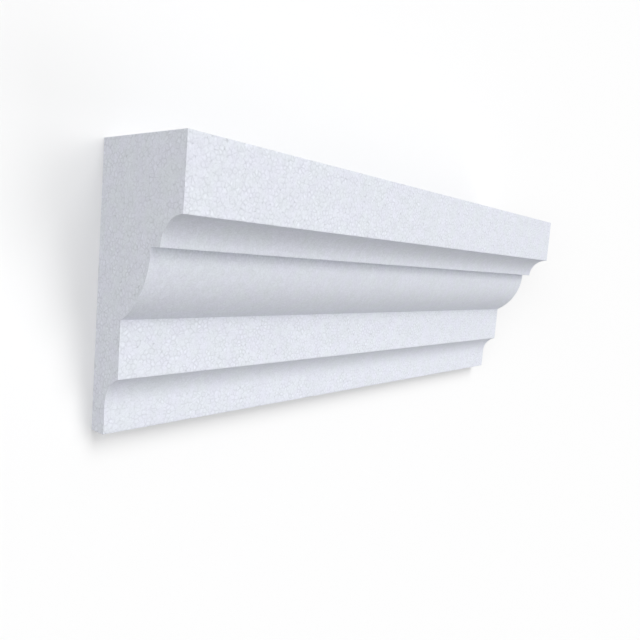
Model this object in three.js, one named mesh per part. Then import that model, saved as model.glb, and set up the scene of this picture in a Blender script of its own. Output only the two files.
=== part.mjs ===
// A straight length of foam cornice moulding, cut square at both ends.
// Millimetres, +Z up. The flat back lies on the wall plane Y = 0 and the moulding stands out
// towards -Y. X runs along its length, and the origin is the middle of the flat back.

import * as THREE from 'three';

// The length of the piece.
const LENGTH = 582;

// The profile, from the foot up to the crown. Each reach is measured out from the wall.
const FOOT_REACH = 15.4;
const FOOT_HEIGHT = 21;
const LOWER_COVE_RADIUS = 20.6;
const LOWER_COVE_SWEEP = THREE.MathUtils.degToRad(73);
const MIDDLE_FASCIA_HEIGHT = 40.3;
const OVOLO_RADIUS = 55.7;
const OVOLO_SWEEP = THREE.MathUtils.degToRad(62);
const DRIP_WIDTH = 9.4;
const UPPER_COVE_RADIUS = 20.6;
const UPPER_COVE_SWEEP = THREE.MathUtils.degToRad(90);
const CROWN_HEIGHT = 49.2;

// Round stretches are cut into steps no longer than this.
const ARC_STEP = THREE.MathUtils.degToRad(2);

// Bare foam: a cool, slightly blue white with no shine.
const FOAM_COLOUR = new THREE.Color(0.78, 0.8, 0.87);
const FOAM_ROUGHNESS = 0.9;

// Draws the profile as seen from one end: x is the reach from the wall, y the height above the
// underside of the foot. It climbs the face from step to step and closes along the flat back.
function drawProfile() {
  const outline = [new THREE.Vector2(0, 0)];
  const end = () => outline[outline.length - 1];

  const go = (reach, height) => {
    outline.push(new THREE.Vector2(end().x + reach, end().y + height));
  };

  // A round stretch starts at the direction `from`, seen from its centre, and ends at `to`.
  const turn = (radius, from, to) => {
    const start = end();
    const steps = Math.ceil(Math.abs(to - from) / ARC_STEP);
    for (let step = 1; step <= steps; step += 1) {
      const angle = THREE.MathUtils.lerp(from, to, step / steps);
      const x = start.x + radius * (Math.cos(angle) - Math.cos(from));
      const y = start.y + radius * (Math.sin(angle) - Math.sin(from));
      outline.push(new THREE.Vector2(x, y));
    }
  };

  // Foot band, running straight up into the lower hollow.
  go(FOOT_REACH, 0);
  go(0, FOOT_HEIGHT);
  turn(LOWER_COVE_RADIUS, Math.PI, Math.PI - LOWER_COVE_SWEEP);

  // Middle fascia, then the bulge, which is upright where it meets the drip.
  go(0, MIDDLE_FASCIA_HEIGHT);
  turn(OVOLO_RADIUS, -OVOLO_SWEEP, 0);

  // Level underside that throws rain clear, then the upper hollow and the crown.
  go(DRIP_WIDTH, 0);
  turn(UPPER_COVE_RADIUS, Math.PI, Math.PI - UPPER_COVE_SWEEP);
  go(0, CROWN_HEIGHT);

  // Flat top, back to the wall.
  outline.push(new THREE.Vector2(0, end().y));
  return outline;
}

// Carries the profile along the length as one solid block of foam.
function makeMoulding() {
  const profile = drawProfile();
  const height = profile[profile.length - 1].y;
  const geometry = new THREE.ExtrudeGeometry(new THREE.Shape(profile), {
    depth: LENGTH,
    steps: 1,
    bevelEnabled: false,
  });
  const foam = new THREE.MeshStandardMaterial({
    color: FOAM_COLOUR,
    roughness: FOAM_ROUGHNESS,
    metalness: 0,
  });
  const moulding = new THREE.Mesh(geometry, foam);
  moulding.name = 'foam_moulding';

  // The drawn profile is stood upright with its reach along -Y and its length along -X.
  moulding.rotation.set(Math.PI / 2, 0, -Math.PI / 2, 'ZYX');
  moulding.position.set(LENGTH / 2, 0, -height / 2);
  return moulding;
}

const group = new THREE.Group();
group.add(makeMoulding());

export default group;
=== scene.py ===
"""A straight length of bare foam cornice moulding, fixed to a pale wall and seen from its left end.

The foam is made of beads pressed together, and every cut face shows them. The skin is worked out
flat first, as a sheet of bead cells as wide as the moulding is long and as high as the way round its
section. The sheet is then folded round the section, and an end of bead cells closes it at each end.
Lengths are in metres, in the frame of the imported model.
"""

import math

import bpy
import numpy as np
from mathutils import Matrix, Vector
from mathutils.geometry import delaunay_2d_cdt


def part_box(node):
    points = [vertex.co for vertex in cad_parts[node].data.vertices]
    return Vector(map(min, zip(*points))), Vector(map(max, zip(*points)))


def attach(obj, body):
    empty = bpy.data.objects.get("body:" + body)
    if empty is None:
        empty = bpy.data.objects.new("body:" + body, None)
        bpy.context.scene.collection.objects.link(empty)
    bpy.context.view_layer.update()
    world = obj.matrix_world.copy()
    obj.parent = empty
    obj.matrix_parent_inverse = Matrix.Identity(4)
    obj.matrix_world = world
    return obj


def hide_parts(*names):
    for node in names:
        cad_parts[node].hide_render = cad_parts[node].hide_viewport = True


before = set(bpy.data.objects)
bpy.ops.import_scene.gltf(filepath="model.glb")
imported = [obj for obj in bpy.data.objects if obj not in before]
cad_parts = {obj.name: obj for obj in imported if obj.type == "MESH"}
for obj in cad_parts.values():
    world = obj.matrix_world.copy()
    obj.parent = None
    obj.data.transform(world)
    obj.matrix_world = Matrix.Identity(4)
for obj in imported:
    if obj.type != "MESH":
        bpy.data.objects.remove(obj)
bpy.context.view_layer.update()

# The moulding as it is packed
MOULDING = "foam_moulding"

# A point in the crown that sees the whole outline: in from the top of the back by these shares of
# the depth and of the height
SIGHT_POINT = (0.1, 0.2)

# The beads, in packed rows, and the seams between them. Depths vary between these shares of each.
BEAD = 0.00365
BEAD_ROW = BEAD * math.sqrt(3) / 2
BEAD_SCATTER = 0.30
MOST_SCATTER = 0.5
BEAD_RELIEF = 0.00005
SHORTEST_SEAM = 0.00065
SEAM_DEPTH = 0.00011
SEAM_VARIES = (0.5, 1.3)
PIT_SHARE = 0.04
PIT_DEPTH = 0.00024
PIT_VARIES = (0.5, 1.0)
SHEET_MARGIN = 4 * BEAD
SEED = 7

# How smooth the hot wire leaves the foam, from 0, every seam open, to 1, none
GLAZE_OF_CURVES = 0.6
GLAZE_OF_ENDS = 0.1

# The cut corners
ARRIS_RADIUS = 0.0004
END_RADIUS = 0.0002
NICK_DEPTH = 0.00015
NICK_REACH = 2 * ARRIS_RADIUS
CREASE = math.radians(20)
SHARP_EDGE = math.radians(40)
CURVE_STEP = 0.004

# Working tolerances of the flat sheets. Cells stop a band short of an end's edge, and what runs to
# that band stops just before it and keeps a clearance from the edge.
TOUCH = 1e-6
SAME = 1e-9
SNAP = 0.00008
EDGE_BAND = 0.00035
CLEARANCE = EDGE_BAND * 0.3
STUB_SHARE = 0.98
TRIES = 9

# The foam's cool white, as it looks in even light. It drifts a little between lavender and grey.
LAVENDER_FOAM = (0.741, 0.757, 0.837, 1.0)
GREY_FOAM = (0.733, 0.765, 0.816, 1.0)

# How bright its marks leave the foam: the beads from one to the next, the seams, the painted shade
# in the pits and the painted glints in the middles of the brightest beads
BEAD_TONES = (0.970, 1.015)
SEAM_LIGHT = 0.895
PIT_SHADE = 0.88
MIDDLE_GLINT = 1.10

# What makes the foam uneven, in clouds to the metre
GRAIN_CLOUDS = 900.0
PATCH_CLOUDS = 190.0
HUE_CLOUDS = 75.0
WIDE_CLOUDS = 32.0

# The wall and the floor: their paint, how far they reach, how high the floor lies, how far the wall
# is in front of the moulding's back, and how far inside the outline it starts
WALL_WHITE = 0.92
FLOOR_WHITE = 0.9
PAINT_CLOUDS = 300.0
STAGE_REACH = 9.0
FLOOR_LEVEL = -1.4
WALL_FORWARD = 0.0004
WALL_LAP = 0.0015

# The soft lights, far off: where each stands (turned to the right of straight in front, and raised,
# in degrees), and its strength. The back light reaches nothing that shows from in front of the wall.
SOFT_LIGHTS = {
    "left light": (-70, 5, 1.32),
    "right light": (30, 15, 0.78),
    "top light": (5, 45, 1.27),
    "low light": (45, -28, 0.45),
    "back light": (200, 30, 0.7),
}
SOFTNESS = math.radians(35)
SKY = 0.35

# The camera, measured from the middle of the back
CAMERA_PLACE = (-0.51912, -0.38883, 0.03238)
CAMERA_YAW = math.radians(50.2835)
CAMERA_PITCH = math.radians(-5.767)
CAMERA_ROLL = math.radians(4.5917)
CAMERA_LENS = 35.0
CAMERA_SENSOR = 36.0


def read_outline(name):
    """The outline of one end as points (y, z) in order, from the foot of the back, along the
    underside of the foot, up the face, over the top and down the back. From a point inside the
    crown every point of the outline is in plain sight, so their angles about it give the order."""
    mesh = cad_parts[name].data
    corners = np.empty(len(mesh.vertices) * 3)
    mesh.vertices.foreach_get("co", corners)
    corners = corners.reshape(-1, 3)
    low, high = corners.min(0), corners.max(0)
    end = np.unique(corners[corners[:, 0] < low[0] + TOUCH][:, 1:], axis=0)
    in_crown = high[1:] - np.array(SIGHT_POINT) * (high - low)[1:]
    away = end - in_crown
    angle = np.arctan2(away[:, 1], away[:, 0])
    first = np.argmax(end[:, 0] - end[:, 1])
    return end[np.argsort((angle[first] - angle) % math.tau)]


class Section:
    """The way round the section. A place on it is given by the distance along the outline from the
    foot of the back."""

    def __init__(self, outline):
        self.points = np.vstack([outline, outline[:1]])
        steps = np.diff(self.points, axis=0)
        lengths = np.linalg.norm(steps, axis=1)
        self.marks = np.concatenate([[0.0], np.cumsum(lengths)])
        self.length = self.marks[-1]
        ahead = steps / lengths[:, None]
        behind = np.roll(ahead, 1, axis=0)
        bend = behind[:, 0] * ahead[:, 1] - behind[:, 1] * ahead[:, 0]
        self.arrises = self.marks[:-1][bend < -math.sin(CREASE)]
        self.quirks = self.marks[:-1][bend > math.sin(CREASE)]
        self.round = lengths < CURVE_STEP

    def sharp(self, way):
        """The point of the cut outline at each distance, by straight steps between its points."""
        way = np.asarray(way) % self.length
        return np.stack([np.interp(way, self.marks, self.points[:, k]) for k in (0, 1)], -1)

    def near(self, way, mark):
        """How far each distance lies past a mark, the short way round."""
        return (way - mark + self.length / 2) % self.length - self.length / 2

    def at(self, way):
        """The outline with its outer corners eased: within a radius of a corner the point runs on
        a parabola whose ends touch the two faces and whose control point is the corner."""
        spot = self.sharp(way)
        for arris in self.arrises:
            past = self.near(way, arris)
            eased = np.abs(past) < ARRIS_RADIUS
            t = ((past[eased] + ARRIS_RADIUS) / (2 * ARRIS_RADIUS))[:, None]
            before, corner, after = self.sharp([arris - ARRIS_RADIUS, arris, arris + ARRIS_RADIUS])
            spot[eased] = (1 - t) ** 2 * before + 2 * t * (1 - t) * corner + t**2 * after
        return spot

    def outward(self, way):
        """The direction out of the foam: a quarter turn to the left of the way along the outline."""
        reach = ARRIS_RADIUS / 2
        along = self.at(way + reach) - self.at(way - reach)
        out = np.stack([-along[:, 1], along[:, 0]], -1)
        return out / np.linalg.norm(out, axis=1, keepdims=True)

    def glaze(self, way):
        """How smooth the cut is at each distance. The wire slows down round a curve and melts the
        foam to a skin there. The short steps of the outline are its curves, and the glaze fades
        out over a bead at their ends."""
        tried = way + BEAD * np.linspace(-0.5, 0.5, 7)[:, None]
        step = np.searchsorted(self.marks, tried % self.length, side="right") - 1
        return GLAZE_OF_CURVES * self.round[step % len(self.round)].mean(0)

    def fold_lines(self):
        """The distances at which the flat sheet is creased: at each inner corner, and at the
        middle and both sides of each eased outer corner."""
        eased = [self.arrises + k * ARRIS_RADIUS for k in (-1, 0, 1)]
        return np.unique(np.concatenate([*eased, self.quirks]) % self.length)


def bead_centres(low, high, rows, dice):
    """Bead centres over a flat rectangle: rows a bead's packing apart, every other row set half a
    bead over, each centre then moved by a random step of half a bead at most. Rows divide the
    height evenly, so that an even number of them can close on itself."""
    height = (high[1] - low[1]) / rows
    columns = math.ceil((high[0] - low[0]) / BEAD)
    row, column = np.meshgrid(np.arange(rows), np.arange(columns), indexing="ij")
    across = low[0] + (column + 0.25 + 0.5 * (row % 2)) * BEAD
    up = low[1] + (row + 0.5) * height
    step = dice.normal(0.0, BEAD_SCATTER, (rows * columns, 2))
    step = np.clip(step, -MOST_SCATTER, MOST_SCATTER)
    return np.stack([across.ravel(), up.ravel()], -1) + BEAD * step


def round_centres(points, a, b, c):
    """The centre of the circle through three points of each triangle: where the lines that halve
    two of its sides at right angles meet."""
    start = points[a]
    u, v = points[b] - start, points[c] - start
    uu, vv = (u**2).sum(1), (v**2).sum(1)
    twice = 2 * (u[:, 0] * v[:, 1] - u[:, 1] * v[:, 0])
    x = (v[:, 1] * uu - u[:, 1] * vv) / twice
    y = (u[:, 0] * vv - v[:, 0] * uu) / twice
    return start + np.stack([x, y], -1)


def facing_up(points, faces):
    """The triangles with their corners in order anticlockwise, so that they face up."""
    a, b, c = (points[faces[:, k]] for k in range(3))
    down = np.cross(b - a, c - a) < 0
    return np.where(down[:, None], faces[:, ::-1], faces)


def mean_by(group, points, count):
    """The mean of the points in each group, by the group's number. An empty group gives 0."""
    share = np.maximum(np.bincount(group, minlength=count), 1)
    return np.stack([np.bincount(group, points[:, k], count) / share for k in (0, 1)], -1)


def bead_cells(centres):
    """The cells of pressed beads on a flat sheet. A cell is all that lies nearer to its own bead's
    centre than to another's, so three cells meet at the centre of the circle through their beads.
    Gives the meeting points, the seams as pairs of them, and the two beads beside each seam: the
    first bead sees the seam run to the left, the second to the right."""
    points, _, faces, *_ = delaunay_2d_cdt(centres.tolist(), [], [], 0, SAME, False)
    points, faces = np.array(points), np.array(faces)

    # The triangles are put in order along the sheet, whatever order they came in.
    faces = facing_up(points, faces[np.argsort(round_centres(points, *faces.T)[:, 0])])
    meets = round_centres(points, *faces.T)
    sides = np.concatenate([faces[:, [0, 1]], faces[:, [1, 2]], faces[:, [2, 0]]])
    backward = sides[:, 0] > sides[:, 1]
    sides = np.sort(sides, axis=1)
    owner = np.tile(np.arange(len(faces)), 3)
    order = np.lexsort((backward, sides[:, 1], sides[:, 0]))
    sides, owner = sides[order], owner[order]
    shared = np.flatnonzero((sides[1:] == sides[:-1]).all(1))
    seams = np.stack([owner[shared + 1], owner[shared]], -1)

    # Meeting points that all but touch become one, in the middle of them, also a chain of them.
    length = np.linalg.norm(meets[seams[:, 0]] - meets[seams[:, 1]], axis=1)
    same = np.arange(len(meets))
    close = seams[length < SHORTEST_SEAM]
    np.minimum.at(same, close.max(1), close.min(1))
    for _ in range(4):
        same = same[same]
    meets = mean_by(same, meets, len(meets))
    seams = same[seams]
    real = seams[:, 0] != seams[:, 1]
    return meets, seams[real], sides[shared][real]


class Sheet:
    """A flat sheet of triangles. Each point has a place (2 numbers) and 3 traits: how near it is to
    a seam, from 0 in the middle of a bead to 1 on a seam, how deep it lies, and 1 where beads that
    didn't fuse leave a pit between them. Each triangle has a bead."""

    def __init__(self, centres, beads, dice):
        meets, seams, neighbours = bead_cells(centres)
        count = len(centres)
        depth = SEAM_DEPTH * dice.uniform(*SEAM_VARIES, len(meets))
        pits = dice.random(len(meets)) < PIT_SHARE
        depth[pits] = PIT_DEPTH * dice.uniform(*PIT_VARIES, pits.sum())
        level = BEAD_RELIEF * dice.random(beads.max() + 1)
        middles = mean_by(neighbours.ravel(), np.repeat(meets[seams].mean(1), 2, axis=0), count)
        self.place = np.vstack([middles, meets])
        self.traits = np.zeros((len(self.place), 3))
        self.traits[count:, 0] = 1.0
        self.traits[:count, 1] = level[beads]
        self.traits[count:, 1] = depth
        self.traits[count:, 2] = pits
        first = np.column_stack([neighbours[:, 0], count + seams])
        second = np.column_stack([neighbours[:, 1], count + seams[:, ::-1]])
        self.faces = np.vstack([first, second])
        self.bead = beads[self.faces[:, 0]]

    def cut(self, axis, line):
        """Cuts every triangle that a straight line crosses. Points close to the line move onto it.
        A triangle cut on two sides becomes three, and one cut through a corner becomes two."""
        off = self.place[:, axis] - line
        self.place[np.abs(off) < SNAP, axis] = line
        off[np.abs(off) < SNAP] = 0.0
        start, stop = self.faces, np.roll(self.faces, -1, axis=1)
        crossed = off[start] * off[stop] < 0
        ends = np.sort(np.stack([start[crossed], stop[crossed]], -1), axis=1)
        ends, which = np.unique(ends, axis=0, return_inverse=True)
        share = (off[ends[:, 0]] / (off[ends[:, 0]] - off[ends[:, 1]]))[:, None]
        made = self.place[ends[:, 0]] * (1 - share) + self.place[ends[:, 1]] * share
        made[:, axis] = line
        traits = self.traits[ends[:, 0]] * (1 - share) + self.traits[ends[:, 1]] * share
        on_side = np.zeros_like(self.faces)
        on_side[crossed] = len(self.place) + which.ravel()
        self.place = np.vstack([self.place, made])
        self.traits = np.vstack([self.traits, traits])

        sides = crossed.sum(1)
        keep = sides == 0
        faces, bead = [self.faces[keep]], [self.bead[keep]]
        for cuts in (1, 2):
            some = sides == cuts
            # The first corner is turned to be the start of the cut side, or the corner cut off.
            first = np.argmax(crossed[some], axis=1)
            if cuts == 2:
                first = (np.argmin(crossed[some], axis=1) + 2) % 3
            turn = (first[:, None] + np.arange(3)) % 3
            a, b, c = np.take_along_axis(self.faces[some], turn, axis=1).T
            p, _, r = np.take_along_axis(on_side[some], turn, axis=1).T
            pieces = [(a, p, c), (p, b, c)] if cuts == 1 else [(a, p, r), (p, b, c), (p, c, r)]
            faces += [np.stack(piece, -1) for piece in pieces]
            bead += [self.bead[some]] * len(pieces)
        self.faces, self.bead = np.vstack(faces), np.concatenate(bead)

    def trim(self, low, high):
        """Keeps what lies between two opposite corners of the sheet. Points that the cuts moved to
        one place become one."""
        middle = self.place[self.faces].mean(1)
        keep = ((middle > low) & (middle < high)).all(1)
        self.faces, self.bead = self.faces[keep], self.bead[keep]
        _, first, same = np.unique(self.place, axis=0, return_index=True, return_inverse=True)
        self.join(first[same.ravel()])

    def join(self, same):
        """Puts one point for another throughout, and leaves out the points that no triangle uses and
        the triangles that have closed up."""
        faces = same[self.faces]
        whole = (faces != np.roll(faces, 1, axis=1)).all(1)
        used, faces = np.unique(faces[whole], return_inverse=True)
        self.place, self.traits = self.place[used], self.traits[used]
        self.faces, self.bead = faces.reshape(-1, 3), self.bead[whole]

    def close_up(self, height):
        """Joins the sheet's upper edge to its lower one, where the same points lie."""
        lower = np.flatnonzero(np.abs(self.place[:, 1]) < TOUCH)
        upper = np.flatnonzero(np.abs(self.place[:, 1] - height) < TOUCH)
        lower = lower[np.argsort(self.place[lower, 0])]
        upper = upper[np.argsort(self.place[upper, 0])]
        if len(lower) != len(upper):
            raise ValueError("the sheet's two long edges don't match")
        same = np.arange(len(self.place))
        same[upper] = lower
        self.join(same)


def wrap_sheet(section, half, dice):
    """The flat sheet of beads that goes once round the section, from end to end. The beads repeat
    after one way round, so that the sheet's long edges match and can be joined."""
    rows = 2 * round(section.length / BEAD_ROW / 2)
    low = np.array([-half - SHEET_MARGIN, 0.0])
    high = np.array([half + SHEET_MARGIN, section.length])
    own = bead_centres(low, high, rows, dice)
    number = np.arange(len(own))
    beads, centres = [number], [own]
    for shift, beside in ((section.length, own[:, 1] < SHEET_MARGIN),
                          (-section.length, own[:, 1] > section.length - SHEET_MARGIN)):
        beads.append(number[beside])
        centres.append(own[beside] + [0.0, shift])
    return Sheet(np.vstack(centres), np.concatenate(beads), dice)


def inside_outline(points, loop):
    """How deep each point lies inside a closed outline: its distance to the nearest side, taken as
    negative where a line to the right crosses the outline an even number of times."""
    a, b = loop, np.roll(loop, -1, axis=0)
    side = b - a
    from_a = points[:, None] - a
    along = np.clip((from_a * side).sum(2) / (side**2).sum(1), 0, 1)
    gap = np.linalg.norm(from_a - along[..., None] * side, axis=2).min(1)
    spans = (a[:, 1] > points[:, None, 1]) != (b[:, 1] > points[:, None, 1])
    rise = np.where(side[:, 1] == 0, TOUCH, side[:, 1])
    meets = a[:, 0] + (points[:, None, 1] - a[:, 1]) / rise * side[:, 0]
    crossings = (spans & (points[:, None, 0] < meets)).sum(1)
    return np.where(crossings % 2 == 1, gap, -gap)


def clear_inside(starts, ends, loop):
    """Whether each straight line stays inside a closed outline, clear of it. A line that starts or
    ends less than its own length from the outline is tried at several places."""
    room = np.minimum(inside_outline(starts, loop), inside_outline(ends, loop))
    doubtful = np.flatnonzero(room < np.linalg.norm(ends - starts, axis=1))
    share = np.linspace(0, 1, TRIES)[:, None, None]
    tried = starts[doubtful] * (1 - share) + ends[doubtful] * share
    deep = inside_outline(tried.reshape(-1, 2), loop).reshape(TRIES, -1)
    clear = np.ones(len(starts), bool)
    clear[doubtful] = deep.min(0) > CLEARANCE
    return clear


def end_cells(loop, dice):
    """The bead cells of one end, inside the loop where the wrapped sheet stops. Seams that run past
    the loop are cut short just inside it, and the narrow band that is left is filled in. Gives the
    places, the traits and the triangles; the loop's own points come first."""
    low, high = loop.min(0) - SHEET_MARGIN, loop.max(0) + SHEET_MARGIN
    rows = round((high[1] - low[1]) / BEAD_ROW)
    centres = bead_centres(low, high, rows, dice)
    sheet = Sheet(centres, np.arange(len(centres)), dice)
    deep = inside_outline(sheet.place, loop)
    kept = deep > EDGE_BAND
    lines = np.vstack([sheet.faces[:, [0, 1]], sheet.faces[:, [1, 2]], sheet.faces[:, [2, 0]]])
    lines = np.unique(np.sort(lines, axis=1), axis=0)
    whole = lines[kept[lines].all(1)]
    whole = whole[clear_inside(sheet.place[whole[:, 0]], sheet.place[whole[:, 1]], loop)]
    seam = lines[(kept[lines].sum(1) == 1) & (sheet.traits[lines, 0] == 1.0).all(1)]
    inner = np.where(kept[seam[:, 0]], seam[:, 0], seam[:, 1])
    outer = np.where(kept[seam[:, 0]], seam[:, 1], seam[:, 0])
    share = ((deep[inner] - EDGE_BAND) / (deep[inner] - deep[outer]))[:, None] * STUB_SHARE
    stubs = sheet.place[inner] * (1 - share) + sheet.place[outer] * share
    good = clear_inside(sheet.place[inner], stubs, loop)
    inner, stubs = inner[good], stubs[good]

    number = np.full(len(sheet.place), -1)
    number[kept] = len(loop) + np.arange(kept.sum())
    places = np.vstack([loop, sheet.place[kept], stubs])
    cut_short = [1.0, SEAM_DEPTH / 2, 0.0]
    stub_traits = np.tile(cut_short, (len(stubs), 1))
    traits = np.vstack([np.zeros((len(loop), 3)), sheet.traits[kept], stub_traits])
    rim = np.arange(len(loop))
    first_stub = len(loop) + kept.sum()
    edges = np.vstack([
        np.column_stack([rim, np.roll(rim, -1)]),
        number[whole],
        np.column_stack([number[inner], first_stub + np.arange(len(stubs))]),
    ])
    points, _, faces, *_ = delaunay_2d_cdt(places.tolist(), edges.tolist(), [], 0, SAME, False)
    points, faces = np.array(points), np.array(faces)
    faces = faces[inside_outline(points[faces].mean(1), loop) > 0]
    added = np.tile(cut_short, (len(points) - len(places), 1))
    bead = np.argmin((centres**2).sum(1) - 2 * points[faces].mean(1) @ centres.T, axis=1)
    return points, np.vstack([traits, added]), faces, bead


def fold(section, half, sheet, dice):
    """Folds the flat sheet round the section. The distance up the sheet is the distance round the
    outline. Past the ends the sheet bends over on a parabola, as it does at each outer corner, and
    every point lies below the cut face by its depth. Corners are also nicked here and there, by a
    random number for each bead's length along them, cubed, so that few nicks are deep."""
    along, way = sheet.place.T
    depth = sheet.traits[:, 1] * (1 - section.glaze(way))
    spots = round(1 / BEAD)
    nick = np.interp(along % 1.0, np.linspace(0, 1, spots), dice.random(spots)) ** 3
    for arris in section.arrises:
        close = np.clip(1 - np.abs(section.near(way, arris)) / NICK_REACH, 0, 1)
        depth += NICK_DEPTH * close * nick
    over = np.clip((np.abs(along) - half + END_RADIUS) / (2 * END_RADIUS), 0, 1)
    x = np.minimum(np.abs(along), half - END_RADIUS * (1 - over) ** 2) * np.sign(along)
    inset = END_RADIUS * over**2 + depth * (1 - over)
    yz = section.at(way) - section.outward(way) * inset[:, None]
    return np.column_stack([x, yz])


def make_moulding():
    """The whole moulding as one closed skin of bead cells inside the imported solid."""
    dice = np.random.default_rng(SEED)
    low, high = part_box(MOULDING)
    half = (high.x - low.x) / 2
    section = Section(read_outline(MOULDING))

    sheet = wrap_sheet(section, half, dice)
    limit = half + END_RADIUS
    sheet.cut(1, 0.0)
    sheet.cut(1, section.length)
    sheet.trim([-half - SHEET_MARGIN, 0.0], [half + SHEET_MARGIN, section.length])
    for line in section.fold_lines():
        sheet.cut(1, line)
    for line in (half - END_RADIUS, half, limit):
        sheet.cut(0, line)
        sheet.cut(0, -line)
    sheet.trim([-limit, 0.0], [limit, section.length])
    sheet.close_up(section.length)
    skin = fold(section, half, sheet, dice)

    points, traits, faces = [skin], [sheet.traits], [sheet.faces]
    glaze = [section.glaze(sheet.place[:, 1])]
    tones = [dice.random(sheet.bead.max() + 1)[sheet.bead]]
    total = len(skin)
    for side in (-1, 1):
        rim = np.flatnonzero(np.abs(sheet.place[:, 0] - side * limit) < TOUCH)
        rim = rim[np.argsort(sheet.place[rim, 1])]
        place, trait, cells, bead = end_cells(skin[rim][:, 1:], dice)
        own = np.concatenate([rim, total + np.arange(len(place) - len(rim))])
        x = side * (half - trait[len(rim):, 1] * (1 - GLAZE_OF_ENDS))
        points.append(np.column_stack([x, place[len(rim):]]))
        traits.append(trait[len(rim):])
        glaze.append(np.full(len(place) - len(rim), GLAZE_OF_ENDS))
        faces.append(own[facing_up(place, cells)][:, ::side])
        tones.append(dice.random(bead.max() + 1)[bead])
        total += len(place) - len(rim)

    mesh = bpy.data.meshes.new("foam_moulding_skin")
    mesh.from_pydata(np.vstack(points), [], np.vstack(faces))
    seam, _, pit = np.vstack(traits).T
    for name, values, domain in (("seam", seam, "POINT"), ("pit", pit, "POINT"),
                                 ("glaze", np.concatenate(glaze), "POINT"),
                                 ("bead_tone", np.concatenate(tones), "FACE")):
        trait = mesh.attributes.new(name, "FLOAT", domain)
        trait.data.foreach_set("value", values.astype(np.float32))
    mesh.polygons.foreach_set("use_smooth", np.ones(len(mesh.polygons), bool))
    mesh.set_sharp_from_angle(angle=SHARP_EDGE)
    piece = bpy.data.objects.new("bead_foam_moulding", mesh)
    bpy.context.scene.collection.objects.link(piece)
    return piece


class Wiring:
    """Small help for writing a material's nodes: add makes a node and fills its inputs, where a
    value may be a number, a colour or another node's output."""

    def __init__(self, name):
        self.material = bpy.data.materials.new(name)
        self.material.use_nodes = True
        self.tree = self.material.node_tree
        self.tree.nodes.clear()

    def add(self, kind, inputs=(), **settings):
        made = self.tree.nodes.new(kind)
        for name, value in settings.items():
            setattr(made, name, value)
        for name, value in dict(inputs).items():
            if isinstance(value, bpy.types.NodeSocket):
                self.tree.links.new(value, made.inputs[name])
            else:
                made.inputs[name].default_value = value
        return made

    def maths(self, operation, *values):
        """One sum on one or two numbers."""
        return self.add("ShaderNodeMath", enumerate(values), operation=operation).outputs[0]

    def trait(self, name):
        """A number that the mesh carries under a name."""
        return self.add("ShaderNodeAttribute", attribute_name=name).outputs["Fac"]

    def noise(self, place, scale, detail):
        """A cloudy number with about `scale` clouds to the metre."""
        inputs = {"Vector": place, "Scale": scale, "Detail": detail}
        return self.add("ShaderNodeTexNoise", inputs).outputs["Fac"]

    def band(self, value, low, high, start, end):
        """Carries a value smoothly from one range to another and holds it at the ends."""
        inputs = {"Value": value, "From Min": low, "From Max": high, "To Min": start, "To Max": end}
        return self.add("ShaderNodeMapRange", inputs, interpolation_type="SMOOTHSTEP").outputs[0]

    def finish(self, shader):
        self.add("ShaderNodeOutputMaterial", {"Surface": shader})
        return self.material


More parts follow.
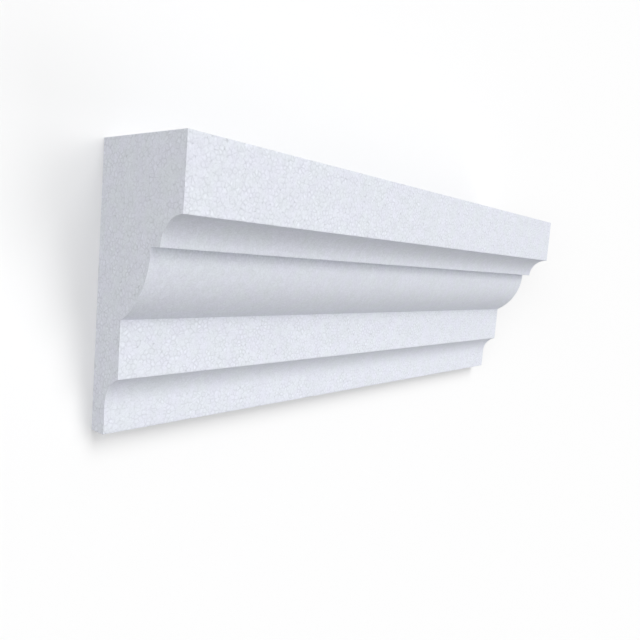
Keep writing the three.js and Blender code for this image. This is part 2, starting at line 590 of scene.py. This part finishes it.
def bead_foam():
    """Bare bead foam: a cool white that drifts between lavender and grey. Each bead differs a little
    in tone and has a painted glint in its middle, some far brighter than others. Soft hairlines come
    and go along the seams, and the pits are painted darker, as the shade inside them. The glazed
    curves show little of this."""
    w = Wiring("bead foam")
    place = w.add("ShaderNodeTexCoord").outputs["Object"]
    seam, pit, glaze, tone = (w.trait(name) for name in ("seam", "pit", "glaze", "bead_tone"))
    # How strong each bead's painted glint is, at random for each bead
    glint_share = w.add("ShaderNodeTexWhiteNoise", {"W": tone}, noise_dimensions="1D").outputs["Value"]
    fine = w.noise(place, GRAIN_CLOUDS, 2.0)
    patches = w.noise(place, PATCH_CLOUDS, 2.0)
    clouds = w.noise(place, WIDE_CLOUDS, 2.0)
    hue = w.noise(place, HUE_CLOUDS, 2.0)

    open_cut = w.maths("SUBTRACT", 1.0, glaze)
    shows = w.maths("MULTIPLY", open_cut, w.band(patches, 0.38, 0.60, 0.25, 1.0))
    shows = w.maths("MULTIPLY", shows, w.band(clouds, 0.35, 0.62, 0.80, 1.12))
    hairline = w.maths("MULTIPLY", w.band(seam, 0.50, 1.0, 0.0, 1.0), shows)
    # Painted shade: the pits between beads that didn't fuse are darkened, as the shade inside them.
    pit_shade = w.maths("MULTIPLY", w.band(pit, 0.40, 0.95, 0.0, 1.0), open_cut)
    # Painted glint: each bead's middle is lightened, fading towards its seams, as a glint of light on
    # it.
    middle_glint = w.maths("MULTIPLY", w.band(seam, 0.05, 0.80, 1.0, 0.0), w.maths("POWER", glint_share, 1.5))
    middle_glint = w.maths("MULTIPLY", middle_glint, shows)

    light = w.band(tone, 0.0, 1.0, *BEAD_TONES)
    light = w.maths("MULTIPLY", light, w.band(clouds, 0.3, 0.7, 0.99, 1.01))
    light = w.maths("MULTIPLY", light, w.band(fine, 0.3, 0.7, 0.96, 1.04))
    light = w.maths("MULTIPLY", light, w.band(hairline, 0.0, 1.0, 1.0, SEAM_LIGHT))
    light = w.maths("MULTIPLY", light, w.band(pit_shade, 0.0, 1.0, 1.0, PIT_SHADE))
    light = w.maths("MULTIPLY", light, w.band(middle_glint, 0.0, 1.0, 1.0, MIDDLE_GLINT))

    # The mix node's inputs 6 and 7 are its two colours, and its output 2 is the mixed one.
    drift = {"Factor": w.band(hue, 0.3, 0.7, 0.0, 1.0), 6: LAVENDER_FOAM, 7: GREY_FOAM}
    drift = w.add("ShaderNodeMix", drift, data_type="RGBA").outputs[2]
    colour = w.add("ShaderNodeVectorMath", {0: drift, "Scale": light}, operation="SCALE")

    height = w.maths("ADD", w.maths("MULTIPLY", hairline, -1.0), w.maths("MULTIPLY", fine, 0.35))
    bump = w.add("ShaderNodeBump", {"Height": height, "Strength": 0.3, "Distance": 0.0002})
    shader = w.add("ShaderNodeBsdfPrincipled", {
        "Base Color": colour.outputs[0],
        "Roughness": w.band(tone, 0.0, 1.0, 0.55, 0.75),
        "Specular IOR Level": 0.3,
        "Normal": bump.outputs["Normal"],
    })
    return w.finish(shader.outputs["BSDF"])


def pale_paint(name, white):
    """Plain matte paint with a faint roll texture, seen only from its front side, so that the
    moulding's back shows from behind the wall."""
    w = Wiring(name)
    place = w.add("ShaderNodeTexCoord").outputs["Object"]
    roll = w.noise(place, PAINT_CLOUDS, 2.0)
    bump = w.add("ShaderNodeBump", {"Height": roll, "Strength": 0.02, "Distance": 0.001})
    paint = {"Color": (white, white, white, 1.0), "Normal": bump.outputs["Normal"]}
    paint = w.add("ShaderNodeBsdfDiffuse", paint)
    clear = w.add("ShaderNodeBsdfTransparent")
    behind = w.add("ShaderNodeNewGeometry").outputs["Backfacing"]
    mix = w.add("ShaderNodeMixShader", {0: behind, 1: paint.outputs[0], 2: clear.outputs[0]})
    return w.finish(mix.outputs[0])


def flat_stage(name, points, faces, material):
    """A flat part of the room round the moulding. Diffuse rays pass it by, so that it throws no
    light back on the moulding."""
    mesh = bpy.data.meshes.new(name)
    mesh.from_pydata(points, [], faces)
    mesh.materials.append(material)
    made = bpy.data.objects.new(name, mesh)
    made.visible_diffuse = False
    bpy.context.scene.collection.objects.link(made)
    return made


def make_stage():
    """The wall, a hair in front of the moulding's back and open just inside its outline, so that
    the back shows whole from behind, and a pale floor. The floor casts no shadow, so that the low
    light gets through it."""
    low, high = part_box(MOULDING)
    lap, far = WALL_LAP, STAGE_REACH
    wall_y = high.y - WALL_FORWARD
    inner = [(low.x + lap, low.z + lap), (high.x - lap, low.z + lap),
             (high.x - lap, high.z - lap), (low.x + lap, high.z - lap)]
    outer = [(-far, FLOOR_LEVEL), (far, FLOOR_LEVEL), (far, far), (-far, far)]
    points = [(x, wall_y, z) for x, z in outer + inner]
    faces = [(k, (k + 1) % 4, 4 + (k + 1) % 4, 4 + k) for k in range(4)]
    flat_stage("wall", points, faces, pale_paint("wall paint", WALL_WHITE))
    flat = [(-far, -2 * far), (far, -2 * far), (far, wall_y), (-far, wall_y)]
    points = [(x, y, FLOOR_LEVEL) for x, y in flat]
    floor = flat_stage("floor", points, [(0, 1, 2, 3)], pale_paint("floor paint", FLOOR_WHITE))
    floor.visible_shadow = False


def make_camera():
    """The photograph's viewpoint. Yaw turns from +Y towards +X, pitch lifts the view and roll turns
    the picture."""
    yaw, pitch, roll = CAMERA_YAW, CAMERA_PITCH, CAMERA_ROLL
    ahead = [math.sin(yaw) * math.cos(pitch), math.cos(yaw) * math.cos(pitch), math.sin(pitch)]
    ahead = np.array(ahead)
    level = np.array([math.cos(yaw), -math.sin(yaw), 0.0])
    upward = np.cross(level, ahead)
    right = math.cos(roll) * level + math.sin(roll) * upward
    up = math.cos(roll) * upward - math.sin(roll) * level
    data = bpy.data.cameras.new("camera")
    data.lens = CAMERA_LENS
    data.sensor_width = CAMERA_SENSOR
    data.sensor_fit = "HORIZONTAL"
    data.clip_start = 0.01
    camera = bpy.data.objects.new("camera", data)
    turn = Matrix(np.column_stack([right, up, -ahead]).tolist())
    camera.matrix_world = Matrix.Translation(CAMERA_PLACE) @ turn.to_4x4()
    bpy.context.scene.collection.objects.link(camera)
    bpy.context.scene.camera = camera


def soft_light(name, turn, rise, strength):
    """A broad soft light, far off in the given direction from the middle of the back. It is sampled
    by shadow rays alone, so that the wall, which diffuse rays pass by, still stops the back light."""
    turn, rise = math.radians(turn), math.radians(rise)
    level = math.cos(rise)
    toward = Vector((math.sin(turn) * level, -math.cos(turn) * level, math.sin(rise)))
    data = bpy.data.lights.new(name, "SUN")
    data.angle = SOFTNESS
    data.energy = strength
    data.cycles.use_multiple_importance_sampling = False
    light = bpy.data.objects.new(name, data)
    light.rotation_euler = (-toward).to_track_quat("-Z", "Y").to_euler()
    bpy.context.scene.collection.objects.link(light)


def make_lights():
    """Broad soft lights in front, on both sides, above and below, and one behind, under an even
    sky."""
    for name, (turn, rise, strength) in SOFT_LIGHTS.items():
        soft_light(name, turn, rise, strength)
    world = bpy.data.worlds.new("studio")
    world.use_nodes = True
    background = world.node_tree.nodes["Background"]
    background.inputs["Color"].default_value = (1.0, 1.0, 1.0, 1.0)
    background.inputs["Strength"].default_value = SKY
    bpy.context.scene.world = world
    bpy.context.scene.view_settings.view_transform = "Standard"


make_camera()
make_stage()
make_lights()

moulding = make_moulding()
moulding.data.materials.append(bead_foam())
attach(moulding, "root")
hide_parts(MOULDING)
